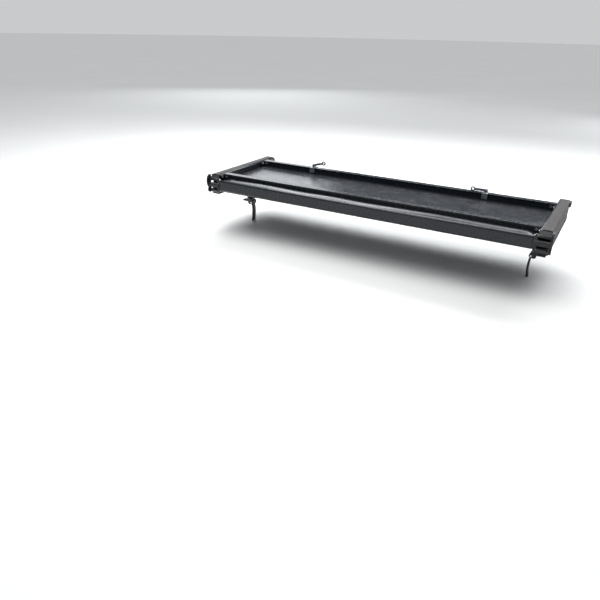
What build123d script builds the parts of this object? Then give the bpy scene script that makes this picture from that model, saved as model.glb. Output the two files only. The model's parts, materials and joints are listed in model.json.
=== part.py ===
from build123d import *
import math
import os

# Soft folding cover for a pickup bed, stowed: three framed panels folded into one stack at the cab.
# Millimetres. +X is across the bed, +Y towards the cab and +Z up. The origin is the middle of the
# front edge, in the plane of the bed rails. The stack is, from the bottom up, the front panel, the
# rear panel and the middle panel, which lies upside down.

# Overall sizes
COVER_WIDTH = 1604.0  # across the outer faces of the side rails
FRONT_LENGTH = 538.0  # front edge to the first fold pivot

# Side rails, hollow
RAIL_WIDTH = 46.0
RAIL_HEIGHT = 28.0
RAIL_WALL = 2.0
RAIL_ROUND = 5.0  # outer corners, under the vinyl
RAIL_SETBACK = 12.0  # rail end to fold pivot

# Crossbars, hollow, with a wide lip on the underside of the cover
BAR_WIDTH = 26.0
BAR_WALL = 2.0
LIP_WIDTH = 32.0
LIP_THICKNESS = 3.0
NEAR_BAR_INSET = 51.0  # fold pivot to the face of the nearest crossbar
MIDDLE_BAR_MARGIN = 68.0  # cab end of the middle panel's rails to its crossbar
FRONT_BAR_MARGIN = 10.0  # front edge to the front crossbar
REAR_TAIL_MARGIN = 22.0  # fold pivot to the tail of the rear panel's rails
REAR_BAR_MARGIN = 45.0  # cab end of the rear panel's rails to its crossbar

# Vinyl, its hem and the hook-and-loop tape that holds the hem
SKIN = 1.0
TAPE = 1.0
TAPE_WIDTH = 30.0
HEM_WIDTH = 41.0

# The stack
NEST_GAP = 3.0  # air between two stacked panels
PIVOT_DEPTH = 8.0  # fold pivot below the vinyl

# Fold links: the two ends and the spacer bar between the front and the middle panel
PIN_RADIUS = 3.0
PIN_FIT = 0.06  # radial running clearance
PIN_HEAD = 5.0
HEAD_TAPER = 20.0  # degrees
LUG_RADIUS = 7.0
LUG_CLEAR = 1.0  # lug to rail face, across the cover
PLUG_DEPTH = 34.0
PLUG_FIT = 0.2
LINK_PLATE = 8.0  # outer, oval plate
LINK_PLATE_CLEAR = 0.5  # to the vinyl on the rail
LINK_BACK = 22.0  # how far the oval stands out from the pivot line
LINK_NOTCH = 9.0  # foot pivot to the oval's lower end
LINK_FOOT_RADIUS = 14.0
LINK_FLAT = 6.5  # flat side, under the fold's vinyl
LINK_NECK = 18.0  # front to back
NECK_HEIGHT = 24.0
NECK_ROUND = 8.0
NECK_SHIFT = 5.0  # pivot line to the neck's middle
LINK_RIM = 3.0
LINK_RECESS = 2.0
INNER_CHEEK = 11.0
CHEEK_RADIUS = 9.0
SPACER_CLEAR = 0.6  # end of the spacer to the heads of the fold pins
SPACER_DEPTH = 17.0
SPACER_WALL = 2.0
SPACER_ROUND = 8.4
TONGUE_DEPTH = 40.0
STRIP_MARGIN = 12.5  # spacer's upper and lower faces to the vinyl strip

# Second fold, between the middle and the rear panel
SECOND_PIVOT_Y = -12.0
SECOND_SETBACK = 12.0
KNUCKLE_RADIUS = 6.0
KNUCKLE_GAP = 0.6
KNUCKLE_NECK = 4.8  # pivot to the start of the slope up to the rail
KNUCKLE_SHOULDER = 4.0
KNUCKLE_SLOPE = 2.0
COVER_CAP = 7.0  # rounded cap over the second hinge
CAP_LENGTH = 52.0
CAP_MARGIN = 3.0  # cap to the vinyl's upper and lower faces
CAP_ROUND = 2.8

# Seals
SEAL_HEIGHT = 7.0
SEAL_REACH = 6.0  # past the front edge
SEAL_LEAF = 4.0
SEAL_BULB = 2.0
SEAL_CHAMFER = 3.0
SEAL_TOP_GAP = 2.0  # leaf to the top of the rails
TAIL_SEAL = 5.0
TAIL_MARGIN = 2.0  # seal to the hem and to the vinyl
TAIL_ROUND = 2.0
TAIL_BULB = 1.4

# Corner angles and their screws
ANGLE_LEG = 30.0
ANGLE_WALL = 3.0
ANGLE_HEIGHT = 18.0
ANGLE_CLEAR = 1.0  # angle to the crossbar's lip
SCREW_TO_RAIL = 18.0
SCREW_TO_BAR = 19.5
SCREW_RADIUS = 3.0
SCREW_HOLE = 3.2
SCREW_HEAD = 5.0
HEAD_HEIGHT = 2.6
SOCKET = 2.2
SOCKET_DEPTH = 1.6

# Catches on the middle panel's cab-side crossbar
CATCH_X = 450.0
CATCH_WIDTH = 26.0
CATCH_CHEEK = 5.5
CATCH_SADDLE = 3.0
CATCH_DROP = 24.0
CATCH_FIT = 0.1  # cheek to the crossbar
CATCH_PIN_HEAD = 4.0
CATCH_HEAD_HEIGHT = 1.8
EAR = 4.6
EAR_RADIUS = 7.0
CATCH_RISE = 12.0  # pin above the crossbar lip
ARM_LENGTH = 60.0
ARM_HEIGHT = 12.0
ARM_THICKNESS = 8.0
ARM_CLEAR = 0.35
EYE_RADIUS = 11.0
EYE_HOLE = 4.5
ARM_ROOT = 6.5  # radius round the pin
LEFT_ARM_ANGLE = 15.0  # above the crossbar
RIGHT_ARM_ANGLE = 0.0

# Bed clamps under the front panel
CLAMP_Y = -290.0
CLAMP_WALL = 4.0
CLAMP_WIDTH = 36.0
CLAMP_INBOARD = 12.0  # rail to the bracket's plate
CLAMP_PIN_DEPTH = 90.0  # pivot below the bed rails
CLAMP_PIN_INBOARD = 38.0  # rail to the pivot
PLATE_BOTTOM = CLAMP_PIN_DEPTH - 14  # below the bed rails, as the next two
EAR_BOTTOM = CLAMP_PIN_DEPTH + 10
JAW_FOOT_TOP = CLAMP_PIN_DEPTH - 8
EAR_ROOT = 20.0  # height of the ear on the plate
EAR_CHAMFER = 6.0
EAR_TOE = 4.0  # pivot to the ear's lower corner, inboard
EAR_NOSE = 9.0  # pivot to the ear's tip
EAR_BROW = 7.0  # pivot to the ear's upper corner
EAR_BROW_RISE = 10.0
JAW_PLATE = 5.0
JAW_CLEAR = 0.5
JAW_FOOT = 31.0
JAW_FOOT_THICKNESS = 6.0
JAW_RISE = 8.0  # jaw's plate above its shelf
JAW_SHELF = 4.0  # thickness
JAW_SHELF_REACH = 2.0  # past the pivot
PAD = 2.0
PAD_MARGIN = 2.0  # bracket's plate to the pad
CAM_RADIUS = 10.0
CAM_THROW = 5.0
CAM_START = 35.0  # degrees of the cam's centre from straight up, towards the jaw
CAM_GAP = 0.7
LEVER_WIDTH = 26.0
LEVER_LENGTH = 100.0
LEVER_THICKNESS = 8.0
LEVER_BOW = 5.0

# Rear clamps, folded flat inside the rear panel
HOOK_LENGTH = 70.0
HOOK_THICKNESS = 6.0
HOOK_SHANK = 7.0
HOOK_NOSE = 12.0
HOOK_TAIL = 72.0  # tail of the rail to the hook's bracket

# What follows from the sizes above
HALF = COVER_WIDTH / 2
RAIL_IN = HALF - RAIL_WIDTH
PANEL = SKIN + TAPE + RAIL_HEIGHT + SKIN
RAIL_BASE = SKIN + TAPE
RAIL_TOP = RAIL_BASE + RAIL_HEIGHT
STACK = 3 * PANEL + 2 * NEST_GAP
FOLD_Y = -FRONT_LENGTH
LOW_PIVOT_Z = PANEL - PIVOT_DEPTH
HIGH_PIVOT_Z = STACK - LOW_PIVOT_Z
LINK_LENGTH = HIGH_PIVOT_Z - LOW_PIVOT_Z
LINK_MIDDLE_Z = STACK / 2
SPACER_HEIGHT = LINK_LENGTH
SECOND_PIVOT_Z = 2 * PANEL + 1.5 * NEST_GAP
NEAR_BAR_Y = FOLD_Y + NEAR_BAR_INSET
RAIL_NEAR_Y = FOLD_Y + RAIL_SETBACK
NEST_FAR_Y = SECOND_PIVOT_Y - SECOND_SETBACK
CAB_BAR_Y = NEST_FAR_Y - MIDDLE_BAR_MARGIN - LIP_WIDTH
REAR_TAIL_Y = FOLD_Y + REAR_TAIL_MARGIN
REAR_BAR_Y = REAR_TAIL_Y + TAIL_SEAL + PLUG_FIT
SIDES = (("left", -1), ("right", 1))

# Each panel's own frame: z runs from the hem, at 0, to the vinyl, at PANEL
front_frame = Plane.XY
rear_frame = Plane.XY.offset(PANEL + NEST_GAP)
middle_frame = Plane(origin=(0, 0, STACK), x_dir=(1, 0, 0), z_dir=(0, 0, -1))

os.makedirs("parts", exist_ok=True)


def write(piece, label):
    piece.part.label = label
    export_step(piece.part, f"parts/{label}.step")


def height(frame, z):
    """The world height of z in a panel's frame."""
    return frame.from_local_coords((0, 0, z)).Z


def lengthwise(frame, y):
    """A section plane across the cover at y, facing the tailgate: sketch y is the panel's z."""
    across = Vector(frame.z_dir.Z, 0, 0)
    return Plane(origin=(0, y, height(frame, 0)), x_dir=across, z_dir=(0, -1, 0))


def sideways(x):
    """A section plane along the cover at x: sketch x is +Y and sketch y is +Z. Its normal is +X."""
    return Plane(origin=(x, 0, 0), x_dir=(0, 1, 0), z_dir=(1, 0, 0))


def outboard(x, y, z, side):
    """A plane at a point that faces right, with side 1, or left, with -1."""
    return Plane(origin=(x, y, z), x_dir=(0, 1, 0), z_dir=(side, 0, 0))


def endwise(x, y, z, toward):
    """A plane at a point that faces the cab, with toward 1, or the tailgate, with -1."""
    return Plane(origin=(x, y, z), x_dir=(1, 0, 0), z_dir=(0, toward, 0))


def side_rail(frame, side, near, far):
    """A hollow rail with rounded outer corners, open at both ends."""
    with BuildPart() as rail:
        with BuildSketch(lengthwise(frame, near)):
            middle_x = frame.z_dir.Z * side * (RAIL_IN + RAIL_WIDTH / 2)
            with Locations((middle_x, RAIL_BASE + RAIL_HEIGHT / 2)):
                RectangleRounded(RAIL_WIDTH, RAIL_HEIGHT, RAIL_ROUND)
                RectangleRounded(
                    RAIL_WIDTH - 2 * RAIL_WALL,
                    RAIL_HEIGHT - 2 * RAIL_WALL,
                    RAIL_ROUND - RAIL_WALL,
                    mode=Mode.SUBTRACT,
                )
        extrude(amount=near - far)
    return rail


def crossbar(frame, near):
    """A hollow bar between the rails, with its wide lip on the panel's underside."""
    facing = 1 if frame.z_dir.Z > 0 else -1
    lip_low = height(frame, RAIL_BASE)
    lip_high = height(frame, RAIL_BASE + LIP_THICKNESS)
    tube_high = height(frame, RAIL_TOP)
    with BuildPart() as bar:
        with BuildSketch(sideways(-RAIL_IN)):
            with Locations((near + LIP_WIDTH / 2, (lip_low + lip_high) / 2)):
                Rectangle(LIP_WIDTH, LIP_THICKNESS)
            with Locations((near + LIP_WIDTH / 2, (lip_high + tube_high) / 2)):
                Rectangle(BAR_WIDTH, RAIL_HEIGHT - LIP_THICKNESS)
            hollow = RAIL_HEIGHT - LIP_THICKNESS - BAR_WALL
            with Locations((near + LIP_WIDTH / 2, lip_high + facing * hollow / 2)):
                Rectangle(BAR_WIDTH - 2 * BAR_WALL, hollow, mode=Mode.SUBTRACT)
        extrude(amount=2 * RAIL_IN)
    return bar


def vinyl(frame, near, far):
    """The panel's vinyl: a flat top, both sides and the hems under the rails."""
    with BuildPart() as skin:
        with BuildSketch(lengthwise(frame, near)):
            with Locations((0, PANEL / 2)):
                RectangleRounded(COVER_WIDTH + 2 * SKIN, PANEL, RAIL_ROUND + SKIN)
            with Locations((0, PANEL / 2)):
                RectangleRounded(COVER_WIDTH, PANEL - 2 * SKIN, RAIL_ROUND, mode=Mode.SUBTRACT)
            with Locations((0, SKIN / 2)):
                Rectangle(2 * (HALF + SKIN - HEM_WIDTH), SKIN, mode=Mode.SUBTRACT)
        extrude(amount=near - far)
    return skin


def hem_tape(frame, near, far):
    """Two strips of hook-and-loop tape between the rails and the hems."""
    middle = HALF - RAIL_ROUND - TAPE_WIDTH / 2
    with BuildPart() as tape:
        with BuildSketch(lengthwise(frame, near)):
            with Locations((-middle, SKIN + TAPE / 2), (middle, SKIN + TAPE / 2)):
                Rectangle(TAPE_WIDTH, TAPE)
        extrude(amount=near - far)
    return tape


def angle_base(frame):
    """The world height of the lower edge of a panel's corner angles."""
    low = RAIL_BASE + LIP_THICKNESS + ANGLE_CLEAR
    return min(height(frame, low), height(frame, low + ANGLE_HEIGHT))


def bar_wall(face, toward):
    """The wall of a crossbar's tube: its near wall, with toward -1, or its cab-side wall, with 1."""
    return face + LIP_WIDTH / 2 + toward * BAR_WIDTH / 2


def corner_angles(frame, bars):
    """Angles that hold the crossbars to the rails. A bar is its near face and its angles' side."""
    bottom = angle_base(frame)
    with BuildPart() as angles:
        for face, toward in bars:
            wall_y = bar_wall(face, toward)
            for _, side in SIDES:
                wall_x = side * RAIL_IN
                with BuildSketch(Plane.XY.offset(bottom)):
                    with BuildLine():
                        Polyline(
                            (wall_x, wall_y),
                            (wall_x - side * ANGLE_LEG, wall_y),
                            (wall_x - side * ANGLE_LEG, wall_y + toward * ANGLE_WALL),
                            (wall_x - side * ANGLE_WALL, wall_y + toward * ANGLE_WALL),
                            (wall_x - side * ANGLE_WALL, wall_y + toward * ANGLE_LEG),
                            (wall_x, wall_y + toward * ANGLE_LEG),
                            close=True,
                        )
                    make_face()
                extrude(amount=ANGLE_HEIGHT)
                with Locations(*angle_seats(face, toward, side, bottom + ANGLE_HEIGHT / 2)):
                    Cylinder(SCREW_HOLE, 3 * ANGLE_WALL, mode=Mode.SUBTRACT)
    return angles


def angle_seats(face, toward, side, z):
    """Seats of the two screws in an angle, facing out of the metal: into its bar, then into its rail."""
    wall_y = bar_wall(face, toward)
    on_bar = (side * (RAIL_IN - SCREW_TO_RAIL), wall_y + toward * ANGLE_WALL, z)
    on_rail = (side * (RAIL_IN - ANGLE_WALL), wall_y + toward * SCREW_TO_BAR, z)
    return (
        Plane(origin=on_bar, x_dir=(1, 0, 0), z_dir=(0, toward, 0)),
        Plane(origin=on_rail, x_dir=(0, 1, 0), z_dir=(-side, 0, 0)),
    )


def screws(seats, shank):
    """Round-headed socket screws, each seated with its head on a seat plane."""
    with BuildPart() as group:
        for seat in seats:
            with BuildSketch(seat):
                Circle(SCREW_HEAD)
            extrude(amount=HEAD_HEIGHT)
            with BuildSketch(seat.offset(HEAD_HEIGHT)):
                RegularPolygon(SOCKET, 6)
            extrude(amount=-SOCKET_DEPTH, mode=Mode.SUBTRACT)
            with BuildSketch(seat):
                Circle(SCREW_RADIUS)
            extrude(amount=-shank)
    return group


def angle_screws(frame, bars):
    z = angle_base(frame) + ANGLE_HEIGHT / 2
    seats = []
    for face, toward in bars:
        for _, side in SIDES:
            seats.extend(angle_seats(face, toward, side, z))
    return screws(seats, ANGLE_WALL - PLUG_FIT)


def pins(x_low, x_high, y, z, head_side):
    """A pin along X on each side, with a head on its inner end (-1) or its outer end (1)."""
    with BuildPart() as pair:
        for _, side in SIDES:
            with BuildSketch(sideways(side * x_low)):
                with Locations((y, z)):
                    Circle(PIN_RADIUS)
            extrude(amount=side * (x_high - x_low))
            end = x_high if head_side > 0 else x_low
            with BuildSketch(outboard(side * end, y, z, side * head_side)):
                Circle(PIN_HEAD)
            extrude(amount=HEAD_HEIGHT, taper=HEAD_TAPER)
    return pair


# ---- The three panels ----

# Name, frame, near and far ends of the rails, and each crossbar's near face and its angles' side
panels = (
    (
        "front",
        front_frame,
        (RAIL_NEAR_Y, -FRONT_BAR_MARGIN),
        ((NEAR_BAR_Y, -1), (-FRONT_BAR_MARGIN - LIP_WIDTH, -1)),
    ),
    (
        "middle",
        middle_frame,
        (RAIL_NEAR_Y, NEST_FAR_Y),
        ((NEAR_BAR_Y, -1), (CAB_BAR_Y, -1)),
    ),
    (
        "rear",
        rear_frame,
        (REAR_TAIL_Y, NEST_FAR_Y),
        ((REAR_BAR_Y, 1), (NEST_FAR_Y - REAR_BAR_MARGIN - LIP_WIDTH, -1)),
    ),
)

for name, frame, (near, far), bars in panels:
    for side_name, side in SIDES:
        write(side_rail(frame, side, near, far), f"{name}_rail_{side_name}")
    for place, (face, toward) in zip(("near", "cab"), bars):
        write(crossbar(frame, face), f"{name}_crossbar_{place}")
    write(vinyl(frame, near, far), f"{name}_vinyl")
    write(hem_tape(frame, near, far), f"{name}_hem_tape")
    write(corner_angles(frame, bars), f"{name}_corner_angles")
    write(angle_screws(frame, bars), f"{name}_corner_screws")

# Rubber seal along the front edge: a foot on the bulkhead and a leaf up the front crossbar
with BuildPart() as front_seal:
    leaf_back = -FRONT_BAR_MARGIN + PIN_FIT
    with BuildSketch(sideways(-RAIL_IN + LUG_CLEAR)):
        with BuildLine():
            Polyline(
                (leaf_back, 0),
                (SEAL_REACH, 0),
                (SEAL_REACH, SEAL_HEIGHT - SEAL_CHAMFER),
                (SEAL_REACH - SEAL_CHAMFER, SEAL_HEIGHT),
                (leaf_back + SEAL_LEAF, SEAL_HEIGHT),
                (leaf_back + SEAL_LEAF, RAIL_TOP - SEAL_TOP_GAP),
                (leaf_back, RAIL_TOP - SEAL_TOP_GAP),
                close=True,
            )
        make_face()
        with Locations((SEAL_REACH - SEAL_CHAMFER - SEAL_BULB / 2, SEAL_HEIGHT / 2)):
            Circle(SEAL_BULB, mode=Mode.SUBTRACT)
    extrude(amount=2 * (RAIL_IN - LUG_CLEAR))
write(front_seal, "front_seal")

# Rubber seal along the tail of the rear panel
with BuildPart() as tail_seal:
    with BuildSketch(outboard(-RAIL_IN, 0, height(rear_frame, 0), 1)):
        with Locations((REAR_TAIL_Y + TAIL_SEAL / 2, PANEL / 2)):
            RectangleRounded(TAIL_SEAL, PANEL - 2 * TAIL_MARGIN, TAIL_ROUND)
            Circle(TAIL_BULB, mode=Mode.SUBTRACT)
    extrude(amount=2 * RAIL_IN)
write(tail_seal, "tail_seal")

# ---- First fold: lugs in the rail ends, links and the spacer bar ----


def fold_lug(side, mirrored):
    """A lug that plugs into a rail's end and turns on a fold pin."""
    x_in = side * (RAIL_IN + LUG_CLEAR) if side > 0 else -(HALF - LUG_CLEAR)
    length = RAIL_WIDTH - 2 * LUG_CLEAR
    face_y = RAIL_NEAR_Y - PLUG_FIT
    low, high = RAIL_BASE + RAIL_WALL, RAIL_TOP - RAIL_WALL / 2
    base = Plane(origin=(x_in, FOLD_Y, LOW_PIVOT_Z), x_dir=(0, 1, 0), z_dir=(1, 0, 0))
    if mirrored:
        base = Plane(origin=(x_in + length, FOLD_Y, HIGH_PIVOT_Z), x_dir=(0, 1, 0), z_dir=(-1, 0, 0))
    with BuildPart() as lug:
        with BuildSketch(base):
            Circle(LUG_RADIUS)
            with BuildLine():
                Polyline(
                    (0, high - LOW_PIVOT_Z),
                    (face_y - FOLD_Y, high - LOW_PIVOT_Z),
                    (face_y - FOLD_Y, low - LOW_PIVOT_Z),
                    (0, -LUG_RADIUS),
                    close=True,
                )
            make_face()
            Circle(PIN_RADIUS + PIN_FIT, mode=Mode.SUBTRACT)
        extrude(amount=length)
        plug_width = RAIL_WIDTH - 2 * RAIL_WALL - 2 * PLUG_FIT
        plug_height = RAIL_HEIGHT - 2 * RAIL_WALL - 2 * PLUG_FIT
        plug_z = RAIL_BASE + RAIL_HEIGHT / 2 - LOW_PIVOT_Z
        mouth = base.from_local_coords((face_y - FOLD_Y, plug_z, length / 2))
        with BuildSketch(Plane(origin=mouth, x_dir=(1, 0, 0), z_dir=(0, 1, 0))):
            RectangleRounded(plug_width, plug_height, RAIL_ROUND - RAIL_WALL)
        extrude(amount=PLUG_DEPTH)
    return lug


def oval_section(inset=0):
    """The outline of a link end, seen along X: a tall oval over a round foot, with a flat side."""
    oval_low = LOW_PIVOT_Z + LINK_NOTCH
    with BuildSketch(mode=Mode.PRIVATE) as outline:
        with Locations((FOLD_Y, (oval_low + STACK) / 2)):
            Ellipse(LINK_BACK - inset, (STACK - oval_low) / 2 - inset)
        with Locations((FOLD_Y, LOW_PIVOT_Z)):
            Circle(LINK_FOOT_RADIUS - inset)
        with Locations((FOLD_Y + LINK_FLAT - inset + STACK / 2, STACK / 2)):
            Rectangle(STACK, 3 * STACK, mode=Mode.SUBTRACT)
    return outline.sketch


def fold_link(side):
    """A link end: an oval outer plate, a neck between the lugs, an inner cheek and a spacer tongue."""
    outer_face = HALF + SKIN + LINK_PLATE_CLEAR
    cheek_face = RAIL_IN - LUG_CLEAR
    pivots = ((FOLD_Y, LOW_PIVOT_Z), (FOLD_Y, HIGH_PIVOT_Z))
    outline = oval_section()
    recess = oval_section(LINK_RIM)
    with BuildPart() as link:
        with BuildSketch(sideways(side * outer_face)):
            add(outline)
        extrude(amount=side * LINK_PLATE)
        # A shallow panel inside the rim, on both faces, round a boss at each pivot
        for face, inward in ((outer_face + LINK_PLATE, -side), (outer_face, side)):
            with BuildSketch(sideways(side * face)):
                add(recess)
                with Locations(*pivots):
                    Circle(CHEEK_RADIUS, mode=Mode.SUBTRACT)
            extrude(amount=inward * LINK_RECESS, mode=Mode.SUBTRACT)
        # The neck between the two lugs joins the plate to the inner cheek
        with BuildSketch(sideways(side * (cheek_face - INNER_CHEEK))):
            with Locations((FOLD_Y - NECK_SHIFT, LINK_MIDDLE_Z)):
                RectangleRounded(LINK_NECK, NECK_HEIGHT, NECK_ROUND)
        extrude(amount=side * (outer_face + LINK_RECESS - cheek_face + INNER_CHEEK))
        # Inner cheek round both pivots
        with BuildSketch(sideways(side * cheek_face)):
            with Locations((FOLD_Y, LINK_MIDDLE_Z)):
                SlotCenterToCenter(LINK_LENGTH, 2 * CHEEK_RADIUS, rotation=90)
            with Locations((FOLD_Y + LINK_FLAT + STACK / 2, STACK / 2)):
                Rectangle(STACK, 3 * STACK, mode=Mode.SUBTRACT)
        extrude(amount=-side * INNER_CHEEK)
        with Locations(*[Plane(origin=(side * HALF, y, z), z_dir=(1, 0, 0)) for y, z in pivots]):
            Cylinder(PIN_RADIUS + PIN_FIT, 4 * RAIL_WIDTH, mode=Mode.SUBTRACT)
        # Tongue that fills the spacer's end and clears the heads of the fold pins
        with BuildSketch(sideways(side * (cheek_face - INNER_CHEEK))):
            with Locations((spacer_y, LINK_MIDDLE_Z)):
                RectangleRounded(
                    SPACER_DEPTH - 2 * SPACER_WALL - 2 * PLUG_FIT,
                    LINK_LENGTH - 2 * PIN_HEAD - 2 * SPACER_CLEAR,
                    SPACER_ROUND - SPACER_WALL - PLUG_FIT,
                )
        extrude(amount=-side * TONGUE_DEPTH)
    return link


spacer_y = FOLD_Y + LINK_FLAT - SPACER_DEPTH / 2
spacer_half = RAIL_IN - LUG_CLEAR - INNER_CHEEK - HEAD_HEIGHT - SPACER_CLEAR

for side_name, side in SIDES:
    write(fold_lug(side, False), f"front_lug_{side_name}")
    write(fold_lug(side, True), f"middle_lug_{side_name}")
    write(fold_link(side), f"fold_link_{side_name}")

pin_inner = RAIL_IN - LUG_CLEAR - INNER_CHEEK
pin_outer = HALF + SKIN + LINK_PLATE_CLEAR + LINK_PLATE - LINK_RECESS
write(pins(pin_inner, pin_outer, FOLD_Y, LOW_PIVOT_Z, -1), "front_fold_pins")
write(pins(pin_inner, pin_outer, FOLD_Y, HIGH_PIVOT_Z, -1), "middle_fold_pins")

# Hollow spacer bar between the links
with BuildPart() as spacer_bar:
    with BuildSketch(sideways(-spacer_half)):
        with Locations((spacer_y, LINK_MIDDLE_Z)):
            RectangleRounded(SPACER_DEPTH, SPACER_HEIGHT, SPACER_ROUND)
            RectangleRounded(
                SPACER_DEPTH - 2 * SPACER_WALL,
                SPACER_HEIGHT - 2 * SPACER_WALL,
                SPACER_ROUND - SPACER_WALL,
                mode=Mode.SUBTRACT,
            )
    extrude(amount=2 * spacer_half)
write(spacer_bar, "spacer_bar")

# Strip of the cover's vinyl that is bonded along the spacer
with BuildPart() as fold_strip:
    with BuildSketch(endwise(0, FOLD_Y + LINK_FLAT, LINK_MIDDLE_Z, 1)):
        Rectangle(2 * spacer_half, SPACER_HEIGHT - 2 * STRIP_MARGIN)
    extrude(amount=SKIN)
write(fold_strip, "fold_strip")

# ---- Second fold: knuckles in the rail ends ----


def knuckle(side, mirrored):
    """A knuckle that plugs into a rail's cab end: the middle panel's is inboard of the rear panel's."""
    half = (RAIL_WIDTH - 2 * LUG_CLEAR) / 2 - KNUCKLE_GAP / 2
    inner = RAIL_IN + LUG_CLEAR
    start = inner if mirrored else inner + half + KNUCKLE_GAP
    x_low = start if side > 0 else -start - half
    face_y = NEST_FAR_Y + PLUG_FIT
    flip = 1 if mirrored else -1
    rail_z = SECOND_PIVOT_Z + flip * (NEST_GAP / 2 + SKIN + RAIL_HEIGHT / 2)
    top = SECOND_PIVOT_Z + flip * (NEST_GAP / 2 + SKIN + RAIL_HEIGHT - RAIL_WALL)
    bottom = SECOND_PIVOT_Z + flip * (NEST_GAP / 2 + SKIN)
    with BuildPart() as joint:
        with BuildSketch(sideways(x_low)):
            with Locations((SECOND_PIVOT_Y, SECOND_PIVOT_Z)):
                Circle(KNUCKLE_RADIUS)
            with BuildLine():
                Polyline(
                    (face_y, bottom),
                    (SECOND_PIVOT_Y - KNUCKLE_NECK, SECOND_PIVOT_Z),
                    (SECOND_PIVOT_Y, SECOND_PIVOT_Z),
                    (SECOND_PIVOT_Y + KNUCKLE_RADIUS, SECOND_PIVOT_Z),
                    (SECOND_PIVOT_Y + KNUCKLE_RADIUS, bottom + flip * KNUCKLE_SHOULDER),
                    (SECOND_PIVOT_Y - KNUCKLE_SLOPE, top),
                    (face_y, top),
                    close=True,
                )
            make_face()
            with Locations((SECOND_PIVOT_Y, SECOND_PIVOT_Z)):
                Circle(PIN_RADIUS + PIN_FIT, mode=Mode.SUBTRACT)
        extrude(amount=half)
        plug_width = RAIL_WIDTH - 2 * RAIL_WALL - 2 * PLUG_FIT
        plug_height = RAIL_HEIGHT - 2 * RAIL_WALL - 2 * PLUG_FIT
        middle_x = side * (RAIL_IN + RAIL_WIDTH / 2)
        with BuildSketch(Plane(origin=(middle_x, face_y, rail_z), x_dir=(1, 0, 0), z_dir=(0, -1, 0))):
            RectangleRounded(plug_width, plug_height, RAIL_ROUND - RAIL_WALL)
        extrude(amount=PLUG_DEPTH)
    return joint


for side_name, side in SIDES:
    write(knuckle(side, True), f"middle_knuckle_{side_name}")
    write(knuckle(side, False), f"rear_knuckle_{side_name}")
    # Rounded cap outside the middle panel's rail end
    with BuildPart() as cap:
        cap_z = height(middle_frame, PANEL / 2)
        with BuildSketch(sideways(side * (HALF + SKIN))):
            with Locations((SECOND_PIVOT_Y + KNUCKLE_RADIUS - CAP_LENGTH / 2, cap_z)):
                SlotOverall(CAP_LENGTH, PANEL - 2 * CAP_MARGIN)
        extrude(amount=side * COVER_CAP)
        fillet(cap.faces().sort_by(Axis.X)[-1 if side > 0 else 0].edges(), CAP_ROUND)
    write(cap, f"hinge_cap_{side_name}")

write(pins(RAIL_IN + LUG_CLEAR, HALF - LUG_CLEAR, SECOND_PIVOT_Y, SECOND_PIVOT_Z, -1), "second_fold_pins")

# ---- Catches on the middle panel's cab-side crossbar ----

lip_z = height(middle_frame, RAIL_BASE)
catch_pin_z = lip_z + CATCH_RISE
arm_y = CAB_BAR_Y + LIP_WIDTH / 2
ear_y = arm_y - ARM_THICKNESS / 2 - ARM_CLEAR - EAR
rest_angles = (LEFT_ARM_ANGLE, RIGHT_ARM_ANGLE)

for (side_name, side), rest in zip(SIDES, rest_angles):
    x = side * CATCH_X
    with BuildPart() as base:
        with BuildSketch(sideways(x - CATCH_WIDTH / 2)):
            with BuildLine():
                Polyline(
                    (CAB_BAR_Y - CATCH_CHEEK, lip_z - CATCH_DROP),
                    (CAB_BAR_Y - CATCH_FIT, lip_z - CATCH_DROP),
                    (CAB_BAR_Y - CATCH_FIT, lip_z),
                    (CAB_BAR_Y + LIP_WIDTH, lip_z),
                    (CAB_BAR_Y + LIP_WIDTH, lip_z + CATCH_SADDLE),
                    (CAB_BAR_Y - CATCH_CHEEK, lip_z + CATCH_SADDLE),
                    close=True,
                )
            make_face()
        extrude(amount=CATCH_WIDTH)
        for ear in (ear_y, arm_y + ARM_THICKNESS / 2 + ARM_CLEAR):
            with BuildSketch(endwise(x, ear + EAR, 0, -1)):
                with Locations((0, catch_pin_z)):
                    Circle(EAR_RADIUS)
                with Locations((0, (lip_z + catch_pin_z) / 2)):
                    Rectangle(2 * EAR_RADIUS, CATCH_RISE)
                with Locations((0, catch_pin_z)):
                    Circle(PIN_RADIUS, mode=Mode.SUBTRACT)
            extrude(amount=EAR)
    write(base, f"catch_base_{side_name}")

    with BuildPart() as arm:
        arm_plane = Plane(
            origin=(x, arm_y + ARM_THICKNESS / 2, catch_pin_z),
            x_dir=(-side * math.cos(math.radians(rest)), 0, math.sin(math.radians(rest))),
            z_dir=(0, side, 0) if side < 0 else (0, 1, 0),
        )
        reach = -ARM_THICKNESS if arm_plane.z_dir.Y > 0 else ARM_THICKNESS
        with BuildSketch(arm_plane):
            Circle(ARM_ROOT)
            with Locations((ARM_LENGTH / 2, 0)):
                Rectangle(ARM_LENGTH, ARM_HEIGHT)
            with Locations((ARM_LENGTH, 0)):
                Circle(EYE_RADIUS)
                Circle(EYE_HOLE, mode=Mode.SUBTRACT)
            Circle(PIN_RADIUS + PIN_FIT, mode=Mode.SUBTRACT)
        extrude(amount=reach)
    write(arm, f"catch_arm_{side_name}")

with BuildPart() as catch_pins:
    for _, side in SIDES:
        with BuildSketch(endwise(side * CATCH_X, ear_y, catch_pin_z, 1)):
            Circle(PIN_RADIUS)
        extrude(amount=2 * (EAR + ARM_CLEAR) + ARM_THICKNESS)
        with BuildSketch(endwise(side * CATCH_X, ear_y, catch_pin_z, -1)):
            Circle(CATCH_PIN_HEAD)
        extrude(amount=CATCH_HEAD_HEIGHT)
write(catch_pins, "catch_pins")

# ---- Bed clamps under the front panel ----

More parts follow.
